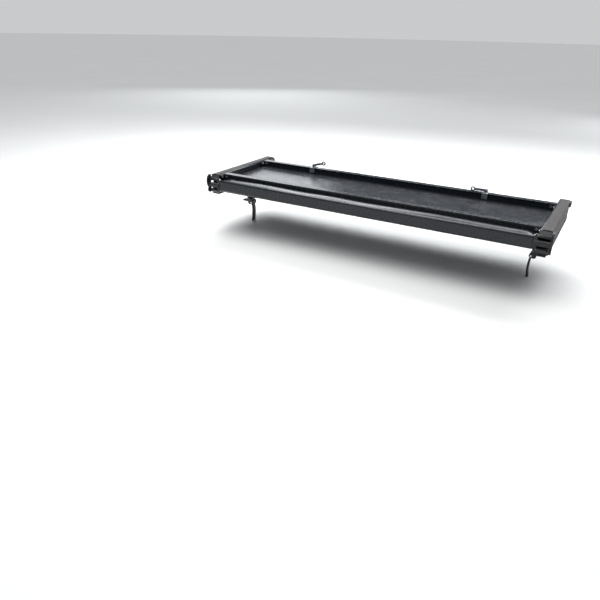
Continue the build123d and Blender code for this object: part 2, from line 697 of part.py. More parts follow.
plate_x = RAIL_IN - CLAMP_INBOARD
pivot_x = RAIL_IN - CLAMP_PIN_INBOARD
pivot_z = -CLAMP_PIN_DEPTH
shelf_z = pivot_z + CAM_RADIUS + CAM_THROW * math.cos(math.radians(CAM_START)) + CAM_GAP
clamp_back = CLAMP_Y + CLAMP_WIDTH / 2

for side_name, side in SIDES:
    clamp_plane = Plane(origin=(0, clamp_back, 0), x_dir=(side, 0, 0), z_dir=(0, -side, 0))
    depth = side * CLAMP_WIDTH
    inset_plane = clamp_plane.offset(side * (CLAMP_WIDTH - LEVER_WIDTH) / 2)

    # Bracket: a tab on the rail's inner face, a step inboard, a plate and two ears
    with BuildPart() as bracket:
        with BuildSketch(clamp_plane):
            with BuildLine():
                Polyline(
                    (RAIL_IN, RAIL_TOP - RAIL_ROUND),
                    (RAIL_IN - CLAMP_WALL, RAIL_TOP - RAIL_ROUND),
                    (RAIL_IN - CLAMP_WALL, RAIL_BASE + RAIL_ROUND + CLAMP_WALL),
                    (plate_x - CLAMP_WALL, RAIL_BASE + RAIL_ROUND + CLAMP_WALL),
                    (plate_x - CLAMP_WALL, -PLATE_BOTTOM),
                    (plate_x, -PLATE_BOTTOM),
                    (plate_x, RAIL_BASE + RAIL_ROUND),
                    (RAIL_IN, RAIL_BASE + RAIL_ROUND),
                    close=True,
                )
            make_face()
        extrude(amount=depth)
        for ear in (0, CLAMP_WIDTH - (CLAMP_WIDTH - LEVER_WIDTH) / 2 + PIN_FIT):
            with BuildSketch(clamp_plane.offset(side * ear)):
                with BuildLine():
                    Polyline(
                        (plate_x - CLAMP_WALL, -PLATE_BOTTOM + EAR_ROOT),
                        (plate_x - CLAMP_WALL, -EAR_BOTTOM + EAR_CHAMFER),
                        (plate_x - CLAMP_WALL - EAR_CHAMFER, -EAR_BOTTOM),
                        (pivot_x - EAR_TOE, -EAR_BOTTOM),
                        (pivot_x - EAR_NOSE, pivot_z),
                        (pivot_x - EAR_BROW, pivot_z + EAR_BROW_RISE),
                        close=True,
                    )
                make_face()
                with Locations((pivot_x, pivot_z)):
                    Circle(PIN_RADIUS, mode=Mode.SUBTRACT)
            extrude(amount=side * ((CLAMP_WIDTH - LEVER_WIDTH) / 2 - PIN_FIT))
    write(bracket, f"clamp_bracket_{side_name}")

    # Jaw: slides on the inside of the bracket's plate, with a foot outboard under the bed flange
    with BuildPart() as jaw:
        jaw_face = plate_x - CLAMP_WALL - JAW_CLEAR
        with BuildSketch(inset_plane.offset(side * JAW_CLEAR)):
            with BuildLine():
                Polyline(
                    (jaw_face, shelf_z + JAW_RISE),
                    (jaw_face - JAW_PLATE, shelf_z + JAW_RISE),
                    (jaw_face - JAW_PLATE, shelf_z + JAW_SHELF),
                    (pivot_x - JAW_SHELF_REACH, shelf_z + JAW_SHELF),
                    (pivot_x - JAW_SHELF_REACH, shelf_z),
                    (jaw_face - JAW_PLATE, shelf_z),
                    (jaw_face - JAW_PLATE, -JAW_FOOT_TOP - JAW_FOOT_THICKNESS),
                    (plate_x + JAW_FOOT, -JAW_FOOT_TOP - JAW_FOOT_THICKNESS),
                    (plate_x + JAW_FOOT, -JAW_FOOT_TOP),
                    (jaw_face, -JAW_FOOT_TOP),
                    close=True,
                )
            make_face()
        extrude(amount=side * (LEVER_WIDTH - 2 * JAW_CLEAR))
    write(jaw, f"clamp_jaw_{side_name}")

    # Rubber pad on the jaw's foot
    with BuildPart() as pad:
        with BuildSketch(inset_plane.offset(side * JAW_CLEAR)):
            with Locations((plate_x + (JAW_FOOT + PAD_MARGIN) / 2, -JAW_FOOT_TOP + PAD / 2)):
                Rectangle(JAW_FOOT - PAD_MARGIN, PAD)
        extrude(amount=side * (LEVER_WIDTH - 2 * JAW_CLEAR))
    write(pad, f"clamp_pad_{side_name}")

    # Cam lever, hanging, with a slight bow along its handle
    with BuildPart() as lever:
        tilt = math.radians(CAM_START)
        cam_x = pivot_x + CAM_THROW * math.sin(tilt)
        cam_z = pivot_z + CAM_THROW * math.cos(tilt)
        tip_z = pivot_z - LEVER_LENGTH
        with BuildSketch(inset_plane.offset(side * JAW_CLEAR)):
            with Locations((cam_x, cam_z)):
                Circle(CAM_RADIUS)
            with BuildLine():
                ThreePointArc(
                    (pivot_x + LEVER_THICKNESS / 2, pivot_z),
                    (pivot_x + LEVER_THICKNESS / 2 - LEVER_BOW, (pivot_z + tip_z) / 2),
                    (pivot_x + LEVER_THICKNESS / 2, tip_z),
                )
                Line((pivot_x + LEVER_THICKNESS / 2, tip_z), (pivot_x - LEVER_THICKNESS / 2, tip_z))
                ThreePointArc(
                    (pivot_x - LEVER_THICKNESS / 2, tip_z),
                    (pivot_x - LEVER_THICKNESS / 2 - LEVER_BOW, (pivot_z + tip_z) / 2),
                    (pivot_x - LEVER_THICKNESS / 2, pivot_z),
                )
                Line((pivot_x - LEVER_THICKNESS / 2, pivot_z), (pivot_x + LEVER_THICKNESS / 2, pivot_z))
            make_face()
            with Locations((pivot_x, pivot_z)):
                Circle(PIN_RADIUS + PIN_FIT, mode=Mode.SUBTRACT)
        extrude(amount=side * (LEVER_WIDTH - 2 * JAW_CLEAR))
    write(lever, f"clamp_lever_{side_name}")

# Clamp pins, with their heads towards the tailgate
with BuildPart() as clamp_pins:
    for _, side in SIDES:
        with BuildSketch(endwise(side * pivot_x, clamp_back, pivot_z, -1)):
            Circle(PIN_RADIUS)
        extrude(amount=CLAMP_WIDTH)
        near_face = clamp_back - CLAMP_WIDTH
        with BuildSketch(endwise(side * pivot_x, near_face, pivot_z, -1)):
            Circle(PIN_HEAD)
        extrude(amount=HEAD_HEIGHT, taper=HEAD_TAPER)
write(clamp_pins, "clamp_pins")

# ---- Rear clamps, folded flat along the rear panel's rails ----

with BuildPart() as rear_hooks:
    hook_z = height(rear_frame, RAIL_BASE + RAIL_HEIGHT / 2)
    for _, side in SIDES:
        start = REAR_TAIL_Y + HOOK_TAIL
        with BuildSketch(outboard(side * RAIL_IN, start, hook_z, -side)):
            with BuildLine():
                Polyline(
                    (0, -HOOK_SHANK),
                    (HOOK_LENGTH, -HOOK_SHANK),
                    (HOOK_LENGTH, HOOK_SHANK),
                    (HOOK_LENGTH - HOOK_NOSE, HOOK_SHANK),
                    (HOOK_LENGTH - HOOK_NOSE, 0),
                    (0, 0),
                    close=True,
                )
            make_face()
        extrude(amount=HOOK_THICKNESS)
write(rear_hooks, "rear_clamp_hooks")
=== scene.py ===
import json
import math

import bpy
from mathutils import Matrix, Vector, noise


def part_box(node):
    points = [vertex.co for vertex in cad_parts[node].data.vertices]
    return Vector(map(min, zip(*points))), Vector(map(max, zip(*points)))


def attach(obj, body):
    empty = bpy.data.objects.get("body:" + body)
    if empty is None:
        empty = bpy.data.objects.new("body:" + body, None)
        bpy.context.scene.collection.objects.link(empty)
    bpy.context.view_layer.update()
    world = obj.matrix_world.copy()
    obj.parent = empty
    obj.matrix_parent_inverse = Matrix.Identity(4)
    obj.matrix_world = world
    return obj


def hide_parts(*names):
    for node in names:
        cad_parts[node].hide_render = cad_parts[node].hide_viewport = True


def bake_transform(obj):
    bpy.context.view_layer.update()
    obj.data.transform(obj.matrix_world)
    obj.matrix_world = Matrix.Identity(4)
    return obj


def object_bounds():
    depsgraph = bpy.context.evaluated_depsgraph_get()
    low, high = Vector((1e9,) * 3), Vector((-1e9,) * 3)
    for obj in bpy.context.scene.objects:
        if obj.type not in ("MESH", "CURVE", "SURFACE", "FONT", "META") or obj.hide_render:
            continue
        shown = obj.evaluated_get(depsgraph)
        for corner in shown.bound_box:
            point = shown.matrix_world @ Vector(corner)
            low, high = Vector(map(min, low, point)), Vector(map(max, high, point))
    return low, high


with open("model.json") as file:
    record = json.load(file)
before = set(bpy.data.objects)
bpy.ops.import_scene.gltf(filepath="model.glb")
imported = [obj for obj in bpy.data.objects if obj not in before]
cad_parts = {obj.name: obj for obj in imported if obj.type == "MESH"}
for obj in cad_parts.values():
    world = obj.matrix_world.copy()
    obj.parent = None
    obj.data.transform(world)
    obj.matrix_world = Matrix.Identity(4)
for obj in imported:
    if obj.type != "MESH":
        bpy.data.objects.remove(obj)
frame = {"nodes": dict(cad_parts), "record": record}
cad_low, cad_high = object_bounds()

# Looks of a stowed soft folding cover. Metres, in the CAD's frame: +X across the bed, +Y towards the
# cab, +Z up. The middle panel lies upside down on top, so its hems and its bare inner side show.

PANELS = ("front", "middle", "rear")
HEM_UP = {"front": -1, "middle": 1, "rear": -1}  # which way, in world z, each panel's hems face
FOLDED = ("front", "middle")  # the panels on both sides of the first fold
FIRST_SEED = 3  # of the first panel's waves

# Vinyl
CLOTH = 0.0008  # thickness
CLOTH_INSET = 0.0005  # middle of the vinyl to the outer face of its CAD solid
CLOTH_ROUND = 0.0055  # over the rails' corners
HEM_WIDTH = 0.041
TAPE_WIDTH = 0.030
COLUMN = 0.013  # mesh spacing across the cover
ROW = 0.0065  # mesh spacing along the cover
ARC_STEPS = 6
SIDE_STEPS = 4
HEM_STEPS = 9
SAG = 0.0013  # at the middle of a panel, between its crossbars
SAG_EDGE = 0.16  # distance from a rail over which the sag builds up
PUCKER = 0.0009  # soft waves in the free vinyl
PUCKER_ACROSS = 4.2
PUCKER_ALONG = 6.5
RIPPLE = 0.00028  # small waves where the vinyl is wrapped round a rail
RIPPLE_SCALE = 42.0
HEM_PUFF = 0.00035  # the hem stands up between its two seams
HEM_SEAM = 0.011  # rail's inner face to the inner seam
FOLD_LAP = 0.005  # how far the fold's vinyl laps each panel's
ROLL = 0.012  # the slack by the first fold stands up against the crossbar
ROLL_CURVE = 0.35
ROLL_FADE = 0.05  # over which it runs out at the rails

# Stitches
STITCH_PITCH = 0.0042
STITCH_LENGTH = 0.0031
STITCH_RADIUS = 0.00033
STITCH_SIDES = 6
STITCH_BENDS = 4
SEAM_INSET = 0.002  # seam to the edge of the tape
STRAY_TURN = 0.16  # how far a stitch turns out of line
STRAY_SHIFT = 0.0002  # and how far it moves off it

# Hook and loop tape
TAPE_CLOTH = 0.00042  # thickness of one layer
TAPE_END = 0.001  # short of the panel's ends
TAPE_UNEVEN = 0.0004  # at its edges
TAPE_OUTER_SHIFT = 0.0003  # of the second layer against the first
TAPE_INNER_SHIFT = 0.0004
TAPE_SUNK = 0.12  # waviness, in layers

# Vinyl at the folds
FOLD_CLOTH = 0.9 * CLOTH
FOLD_WAVE = 0.0006
BEND_STEPS = 14
STRIP_ROWS = 8
LOOP_REACH = 0.0085  # past the panels' edges at the second fold
LOOP_INSET = 0.002  # clear of the knuckles
LOOP_TURNS = 12
LOOP_ROWS = 5
LOOP_WAVE = 0.0004

# Camera at the photograph's viewing angle
CAMERA_AT = (0.98878, -2.77664, 0.79104)
CAMERA_YAW = 0.5142  # left of +Y
CAMERA_PITCH = 0.4532  # down
CAMERA_ROLL = 0.0203
CAMERA_LENS = 34.36
SENSOR = 36.0
EXPOSURE = -0.55

# Softboxes: place, target, width, height, power and tint
COOL = (0.94, 0.97, 1.0)
SOFTBOXES = {
    "overhead": ((-0.8, -0.8, 2.5), (0, -0.35, 0.05), 3.4, 1.3, 80, (1, 1, 1)),
    "back_top": ((-0.2, 1.5, 1.9), (0.2, -0.5, 0.07), 4.4, 1.1, 190, (0.96, 0.98, 1.0)),
    "back_left": ((-4.3, 5.0, 1.7), (-0.5, -0.3, 0.1), 2.4, 2.0, 50, COOL),
    "back_right": ((2.2, 5.0, 0.7), (0.5, -0.3, 0.1), 1.4, 0.9, 50, COOL),
}
CEILING_STRENGTH = 1.2
CEILING_SPREAD = 40  # degrees

# Floor
FLOOR_GAP = 0.001  # under the lowest point
FLOOR_REACH = 40.0
FLOOR_RINGS = 24
FLOOR_SPOKES = 48


# ---- Camera ----

def add_camera():
    data = bpy.data.cameras.new("camera")
    data.lens = CAMERA_LENS
    data.sensor_width = SENSOR
    camera = bpy.data.objects.new("camera", data)
    bpy.context.scene.collection.objects.link(camera)
    flat = math.cos(CAMERA_PITCH)
    forward = Vector((-math.sin(CAMERA_YAW) * flat, math.cos(CAMERA_YAW) * flat, -math.sin(CAMERA_PITCH)))
    right = Vector((math.cos(CAMERA_YAW), math.sin(CAMERA_YAW), 0))
    up = right.cross(forward)
    rolled_right = right * math.cos(CAMERA_ROLL) + up * math.sin(CAMERA_ROLL)
    rolled_up = up * math.cos(CAMERA_ROLL) - right * math.sin(CAMERA_ROLL)
    turn = Matrix((rolled_right, rolled_up, -forward)).transposed().to_4x4()
    camera.matrix_world = Matrix.Translation(CAMERA_AT) @ turn
    bpy.context.scene.camera = camera


# ---- Materials ----

class Shader:
    """A Principled material with helpers for its texture nodes, all in the object's own coordinates."""

    def __init__(self, name, **constants):
        self.material = bpy.data.materials.new(name)
        self.material.use_nodes = True
        self.tree = self.material.node_tree
        self.surface = self.tree.nodes["Principled BSDF"]
        self.place = self.tree.nodes.new("ShaderNodeTexCoord").outputs["Object"]
        for socket, value in constants.items():
            self.surface.inputs[socket.replace("_", " ")].default_value = value

    def node(self, kind, **settings):
        made = self.tree.nodes.new(kind)
        for key, value in settings.items():
            setattr(made, key, value)
        return made

    def link(self, source, target):
        self.tree.links.new(source, target)

    def stretched(self, scale):
        mapping = self.node("ShaderNodeMapping")
        mapping.inputs["Scale"].default_value = scale
        self.link(self.place, mapping.inputs["Vector"])
        return mapping.outputs["Vector"]

    def noise(self, scale, detail=3.0, stretch=(1, 1, 1), roughness=0.55):
        texture = self.node("ShaderNodeTexNoise")
        texture.inputs["Scale"].default_value = scale
        texture.inputs["Detail"].default_value = detail
        texture.inputs["Roughness"].default_value = roughness
        self.link(self.stretched(stretch), texture.inputs["Vector"])
        return texture.outputs["Fac"]

    def cells(self, scale, feature="DISTANCE_TO_EDGE", wobble=0.0):
        texture = self.node("ShaderNodeTexVoronoi", feature=feature)
        texture.inputs["Scale"].default_value = scale
        vector = self.place
        if wobble:
            warp = self.node("ShaderNodeTexNoise")
            warp.inputs["Scale"].default_value = scale * 0.35
            self.link(self.place, warp.inputs["Vector"])
            shift = self.node("ShaderNodeVectorMath", operation="MULTIPLY_ADD")
            shift.inputs[1].default_value = (wobble / scale,) * 3
            self.link(warp.outputs["Color"], shift.inputs[0])
            self.link(self.place, shift.inputs[2])
            vector = shift.outputs["Vector"]
        self.link(vector, texture.inputs["Vector"])
        return texture.outputs["Distance"]

    def bands(self, scale, direction):
        texture = self.node("ShaderNodeTexWave", wave_type="BANDS", bands_direction=direction)
        texture.inputs["Scale"].default_value = scale
        self.link(self.place, texture.inputs["Vector"])
        return texture.outputs["Fac"]

    def spread(self, value, low, high, new_low, new_high):
        """Maps a value's range low..high to new_low..new_high, clamped."""
        mapped = self.node("ShaderNodeMapRange")
        sockets = ("From Min", "From Max", "To Min", "To Max")
        for socket, number in zip(sockets, (low, high, new_low, new_high)):
            mapped.inputs[socket].default_value = number
        self.link(value, mapped.inputs["Value"])
        return mapped.outputs["Result"]

    def maths(self, operation, first, second):
        made = self.node("ShaderNodeMath", operation=operation)
        self.link(first, made.inputs[0])
        if isinstance(second, (int, float)):
            made.inputs[1].default_value = second
        else:
            self.link(second, made.inputs[1])
        return made.outputs["Value"]

    def mix(self, factor, first, second):
        """A colour between two colours or colour outputs."""
        made = self.node("ShaderNodeMix", data_type="RGBA")
        self.link(factor, made.inputs["Factor"])
        for socket, colour in zip((made.inputs[6], made.inputs[7]), (first, second)):
            if isinstance(colour, tuple):
                socket.default_value = (*colour, 1)
            else:
                self.link(colour, socket)
        return made.outputs[2]

    def upward(self):
        """How far a surface faces up, for dust."""
        parts = self.node("ShaderNodeSeparateXYZ")
        self.link(self.node("ShaderNodeNewGeometry").outputs["Normal"], parts.inputs["Vector"])
        return self.spread(parts.outputs["Z"], 0.35, 0.95, 0, 1)

    def dusty(self, colour, amount, dust=(0.32, 0.31, 0.29)):
        speckle = self.spread(self.noise(55, 6), 0.42, 0.75, 0.15, 1)
        settled = self.maths("MULTIPLY", self.maths("MULTIPLY", self.upward(), speckle), amount)
        return self.mix(settled, colour, dust)

    def colour(self, output):
        self.link(output, self.surface.inputs["Base Color"])

    def rough(self, output):
        self.link(output, self.surface.inputs["Roughness"])

    def bump(self, *layers):
        """Each layer is a height, its strength and its real depth in metres."""
        last = None
        for height, strength, depth in layers:
            made = self.node("ShaderNodeBump")
            made.inputs["Strength"].default_value = strength
            made.inputs["Distance"].default_value = depth
            self.link(height, made.inputs["Height"])
            if last:
                self.link(last, made.inputs["Normal"])
            last = made.outputs["Normal"]
        self.link(last, self.surface.inputs["Normal"])


def powder_coat():
    shader = Shader("powder_coat", Specular_IOR_Level=0.4)
    tone = shader.mix(shader.noise(9, 4), (0.0075, 0.010, 0.014), (0.012, 0.016, 0.022))
    shader.colour(shader.dusty(tone, 0.03))
    shader.rough(shader.spread(shader.noise(38, 5), 0.3, 0.7, 0.22, 0.33))
    peel = shader.noise(620, 2)
    drawn = shader.noise(160, 2, (0.02, 1, 1))
    shader.bump((peel, 0.08, 0.00012), (drawn, 0.08, 0.00008))
    return shader.material


def moulded_black():
    shader = Shader("moulded_black", Specular_IOR_Level=0.5)
    tone = shader.mix(shader.noise(16, 4), (0.006, 0.0065, 0.008), (0.012, 0.013, 0.015))
    scuffs = shader.spread(shader.noise(120, 7, (1, 1, 4)), 0.62, 0.78, 0, 0.5)
    shader.colour(shader.dusty(shader.mix(scuffs, tone, (0.03, 0.03, 0.032)), 0.04))
    shader.rough(shader.spread(shader.noise(70, 5), 0.3, 0.7, 0.38, 0.56))
    shader.bump((shader.cells(1500, "F1"), 0.3, 0.0001), (shader.noise(240, 3), 0.12, 0.0001))
    return shader.material


def coated_steel():
    shader = Shader("coated_steel", Specular_IOR_Level=0.55)
    tone = shader.mix(shader.noise(22, 4), (0.009, 0.010, 0.013), (0.017, 0.018, 0.022))
    chips = shader.spread(shader.noise(210, 8), 0.68, 0.72, 0, 0.8)
    shader.colour(shader.mix(chips, tone, (0.06, 0.06, 0.06)))
    shader.rough(shader.spread(shader.noise(60, 4), 0.3, 0.7, 0.33, 0.5))
    shader.bump((shader.noise(420, 3), 0.18, 0.00012))
    return shader.material


def zinc_steel():
    shader = Shader("zinc_steel", Metallic=1.0)
    shader.colour(shader.mix(shader.noise(260, 4), (0.56, 0.58, 0.62), (0.76, 0.76, 0.74)))
    shader.rough(shader.spread(shader.noise(520, 4), 0.3, 0.7, 0.16, 0.34))
    shader.bump((shader.noise(1500, 2), 0.12, 0.00005))
    return shader.material


def cast_alloy():
    shader = Shader("cast_alloy", Metallic=0.85)
    stain = shader.spread(shader.noise(90, 6), 0.45, 0.7, 0, 1)
    shader.colour(shader.mix(stain, (0.40, 0.42, 0.45), (0.20, 0.21, 0.22)))
    shader.rough(shader.spread(shader.noise(150, 5), 0.3, 0.7, 0.34, 0.6))
    shader.bump((shader.cells(900, "F1"), 0.3, 0.00012), (shader.noise(300, 4), 0.25, 0.00015))
    return shader.material


def rubber():
    shader = Shader("rubber_seal", Specular_IOR_Level=0.35)
    bloom = shader.spread(shader.noise(45, 7), 0.5, 0.75, 0, 0.6)
    shader.colour(shader.mix(bloom, (0.012, 0.012, 0.012), (0.038, 0.037, 0.036)))
    shader.rough(shader.spread(shader.noise(90, 4), 0.3, 0.7, 0.62, 0.82))
    shader.bump((shader.noise(300, 3, (0.03, 1, 1)), 0.3, 0.0002), (shader.noise(1200, 2), 0.2, 0.0001))
    return shader.material


def vinyl_outer():
    """Leather-grain face of the vinyl, which also shows on the hems."""
    shader = Shader("vinyl_outer", Specular_IOR_Level=0.24)
    grain = shader.spread(shader.cells(560, wobble=1.1), 0.0, 0.16, 0, 1)
    fine = shader.noise(1300, 3)
    broad = shader.noise(7, 5)
    tone = shader.mix(broad, (0.028, 0.024, 0.024), (0.042, 0.037, 0.036))
    worn = shader.mix(grain, (0.014, 0.013, 0.013), tone)
    shader.colour(shader.dusty(worn, 0.05))
    shader.rough(shader.spread(shader.maths("ADD", fine, broad), 0.7, 1.3, 0.52, 0.64))
    shader.bump((grain, 0.5, 0.00022), (fine, 0.22, 0.0001))
    return shader.material


def vinyl_inner():
    """Coated back of the vinyl: the weave of its scrim prints through a semi-gloss film."""
    shader = Shader("vinyl_inner", Specular_IOR_Level=0.46)
    weave = shader.maths("MULTIPLY", shader.bands(310, "X"), shader.bands(310, "Y"))
    broad = shader.noise(5, 5)
    tone = shader.mix(broad, (0.012, 0.0135, 0.017), (0.019, 0.021, 0.026))
    shader.colour(shader.dusty(shader.mix(weave, tone, (0.009, 0.010, 0.0125)), 0.02))
    shader.rough(shader.spread(shader.noise(24, 6), 0.3, 0.7, 0.19, 0.28))
    shader.bump((weave, 0.22, 0.00008), (shader.noise(120, 3), 0.1, 0.00015))
    return shader.material


def hook_tape():
    shader = Shader("hook_tape", Sheen_Weight=0.3, Specular_IOR_Level=0.3)
    hooks = shader.cells(1250, "F1")
    shader.colour(shader.mix(hooks, (0.010, 0.010, 0.011), (0.045, 0.045, 0.047)))
    shader.rough(shader.spread(shader.noise(200, 3), 0.3, 0.7, 0.75, 0.95))
    shader.bump((hooks, 0.8, 0.0005))
    return shader.material


def thread():
    shader = Shader("thread", Sheen_Weight=0.2)
    twist = shader.noise(2600, 2, (1, 0.35, 1))
    shader.colour(shader.mix(twist, (0.020, 0.020, 0.021), (0.085, 0.084, 0.082)))
    shader.rough(shader.spread(twist, 0.3, 0.7, 0.5, 0.8))
    shader.bump((twist, 0.5, 0.0001))
    return shader.material


MATERIALS = {
    "powder_coat": powder_coat(),
    "moulded_black": moulded_black(),
    "coated_steel": coated_steel(),
    "zinc_steel": zinc_steel(),
    "cast_alloy": cast_alloy(),
    "rubber_seal": rubber(),
    "vinyl": vinyl_outer(),
    "vinyl_inner": vinyl_inner(),
    "hook_tape": hook_tape(),
    "thread": thread(),
}

# Width of the softened edges of each slot's CAD nodes
EDGES = {
    "powder_coat": 0.0005,
    "moulded_black": 0.0008,
    "coated_steel": 0.0006,
    "zinc_steel": 0.0003,
    "cast_alloy": 0.0006,
    "rubber_seal": 0.0005,
}


def dress_nodes():
    """Gives every CAD node that stays its material and softened edges."""
    for part in frame["record"]["subparts"]:
        node, slot = part["node"], part["material_slot"]
        if slot not in EDGES:
            continue
        piece = frame["nodes"][node]
        piece.data.materials.clear()
        piece.data.materials.append(MATERIALS[slot])
        weld = piece.modifiers.new("weld", "WELD")
        weld.merge_threshold = 0.00001
        bevel = piece.modifiers.new("bevel", "BEVEL")
        bevel.width = EDGES[slot]
        bevel.segments = 2
        bevel.limit_method = "ANGLE"
        bevel.angle_limit = math.radians(32)
        bevel.harden_normals = True
        bevel.use_clamp_overlap = True


# ---- Mesh helpers ----

def smooth_step(value):
    value = min(max(value, 0.0), 1.0)
    return value * value * (3 - 2 * value)


def steps(start, stop, count):
    """count + 1 numbers from start to stop."""
    return [start + (stop - start) * i / count for i in range(count + 1)]


def make_piece(name, vertices, faces, *materials):
    mesh = bpy.data.meshes.new(name)
    mesh.from_pydata(vertices, [], faces)
    for material in materials:
        mesh.materials.append(MATERIALS[material])
    mesh.polygons.foreach_set("use_smooth", [True] * len(mesh.polygons))
    mesh.update()
    piece = bpy.data.objects.new(name, mesh)
    bpy.context.scene.collection.objects.link(piece)
    return piece


def grid_faces(rows, columns, flip=False):
    faces = []
    for row in range(rows - 1):
        for column in range(columns - 1):
            corner = row * columns + column
            face = (corner, corner + 1, corner + columns + 1, corner + columns)
            faces.append(face[::-1] if flip else face)
    return faces


def thicken(piece, thickness, inner_slot=0):
    solid = piece.modifiers.new("thickness", "SOLIDIFY")
    solid.thickness = thickness
    solid.offset = 0
    solid.material_offset = inner_slot
    solid.use_even_offset = True


# ---- Vinyl of the panels ----

def skin_profile(half, height):
    """Points (x, depth above the hem, normal) round a panel, from the left hem's edge to the right one's."""
    inner = half - CLOTH_ROUND
    hem_edge = half + CLOTH_INSET - HEM_WIDTH
    points = [(-x, 0.0, (0, -1)) for x in steps(hem_edge, inner, HEM_STEPS)]
    for turn in steps(270, 180, ARC_STEPS)[1:]:
        points.append(round_point(-inner, CLOTH_ROUND, turn))
    points += [(-half, z, (-1, 0)) for z in steps(CLOTH_ROUND, height - CLOTH_ROUND, SIDE_STEPS)[1:]]
    for turn in steps(180, 90, ARC_STEPS)[1:]:
        points.append(round_point(-inner, height - CLOTH_ROUND, turn))
    points += [(x, height, (0, 1)) for x in steps(-inner, 0, round(inner / COLUMN))[1:]]
    return points + [(-x, z, (-n[0], n[1])) for x, z, n in points[-2::-1]]


def round_point(x, z, degrees):
    across, up = math.cos(math.radians(degrees)), math.sin(math.radians(degrees))
    return (x + CLOTH_ROUND * across, z + CLOTH_ROUND * up, (across, up))


def skin_wave(name, x, y, level, height, free, seed):
    """How far the vinyl stands off its even shape, along its outer normal."""
    rail_inner, edge, bar, near, far = free
    if level < height:
        seam = (abs(x) - (rail_inner + HEM_SEAM)) / (TAPE_WIDTH - 2 * SEAM_INSET)
        puff = HEM_PUFF * math.sin(math.pi * min(max(seam, 0), 1)) if level < CLOTH_ROUND / 4 else 0
        wave = noise.noise(Vector((seed + level * 40, y * RIPPLE_SCALE, x)))
        return puff + RIPPLE * (0.6 + wave)
    across = smooth_step((rail_inner - abs(x)) / SAG_EDGE)
    along = math.sin(math.pi * min(max((y - near) / (far - near), 0), 1))
    pucker = noise.fractal(Vector((x * PUCKER_ACROSS, y * PUCKER_ALONG, seed)), 1.0, 2.0, 3)
    pull = noise.noise(Vector((x * 22, y * 9, seed + 7))) * (1 - across) * along
    down = SAG * across * along + PUCKER * pucker * across * along + PUCKER * 0.5 * pull
    if name in FOLDED and y < bar:
        down -= HEM_UP[name] * slack_roll(x, (y - edge) / (bar - edge), rail_inner, seed)
    return down * HEM_UP[name]


def slack_roll(x, part, rail_inner, seed):
    """Height of the slack vinyl, from nothing at the panel's edge (0) to the crossbar (1)."""
    waver = 1 + 0.25 * noise.noise(Vector((x * 5, seed, 0.3)))
    swell = part * (1 + ROLL_CURVE * (1 - part))
    return ROLL * waver * swell * smooth_step((rail_inner - abs(x)) / ROLL_FADE)


def panel_skin(name, seed):
    low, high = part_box(f"{name}_vinyl")
    half = high.x - CLOTH_INSET
    height = high.z - low.z - 2 * CLOTH_INSET
    hem_z = (high.z - CLOTH_INSET) if HEM_UP[name] > 0 else (low.z + CLOTH_INSET)
    profile = skin_profile(half, height)
    rail_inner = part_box(f"{name}_rail_right")[0].x
    bar_low, bar_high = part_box(f"{name}_crossbar_near")
    free = (rail_inner, low.y, bar_low.y, bar_high.y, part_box(f"{name}_crossbar_cab")[0].y)
    rows = steps(low.y, high.y, round((high.y - low.y) / ROW))
    vertices = []
    for y in rows:
        for x, level, (across, up) in profile:
            off = skin_wave(name, x, y, level, height, free, seed)
            z = hem_z - HEM_UP[name] * (level + off * up)
            vertices.append((x + off * across, y, z))
    faces = grid_faces(len(rows), len(profile), flip=HEM_UP[name] > 0)
    skin = make_piece(f"{name}_skin", vertices, faces, "vinyl", "vinyl_inner")
    thicken(skin, CLOTH, 1)
    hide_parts(f"{name}_vinyl")
    width = 2 * (HEM_WIDTH + height + half) - 4 * CLOTH_ROUND
    return skin, (width, high.y - low.y)


def stitch(vertices, faces, middle, along, up, length, radius):
    """One stitch: a short thread that dips into the cloth at both ends."""
    side = along.cross(up)
    first = len(vertices)
    for bend in range(STITCH_BENDS + 1):
        t = bend / STITCH_BENDS
        lift = math.sin(math.pi * t)
        centre = middle + along * (t - 0.5) * length + up * radius * (1.3 * lift - 0.7)
        girth = radius * (0.55 + 0.45 * lift)
        for turn in range(STITCH_SIDES):
            angle = 2 * math.pi * turn / STITCH_SIDES
            vertices.append(centre + side * math.cos(angle) * girth + up * math.sin(angle) * girth)
    for bend in range(STITCH_BENDS):
        for turn in range(STITCH_SIDES):
            a = first + bend * STITCH_SIDES + turn
            b = first + bend * STITCH_SIDES + (turn + 1) % STITCH_SIDES
            faces.append((a, b, b + STITCH_SIDES, a + STITCH_SIDES))
    last = first + STITCH_BENDS * STITCH_SIDES
    faces.append(tuple(range(first, first + STITCH_SIDES))[::-1])
    faces.append(tuple(range(last, last + STITCH_SIDES)))


def hem_stitches(name, seed):
    """Two seams along each hem, where the tape is sewn on."""
    low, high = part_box(f"{name}_vinyl")
    tape_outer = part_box(f"{name}_hem_tape")[1].x
    seams = (tape_outer - SEAM_INSET, tape_outer - TAPE_WIDTH + SEAM_INSET)
    up = Vector((0, 0, HEM_UP[name]))
    z = high.z if HEM_UP[name] > 0 else low.z
    vertices, faces = [], []
    count = int((high.y - low.y - 2 * STITCH_PITCH) / STITCH_PITCH)
    for side in (-1, 1):
        for seam in seams:
            for i in range(count):
                y = low.y + STITCH_PITCH * (i + 1.5)
                stray = noise.noise(Vector((seam * 90, y * 220, seed + side)))
                along = Vector((stray * STRAY_TURN, 1, 0)).normalized()
                middle = Vector((side * seam + stray * STRAY_SHIFT, y, z)) + up * STRAY_SHIFT
                stitch(vertices, faces, middle, along, up, STITCH_LENGTH, STITCH_RADIUS)
    piece = make_piece(f"{name}_hem_stitches", vertices, faces, "thread")
    return piece


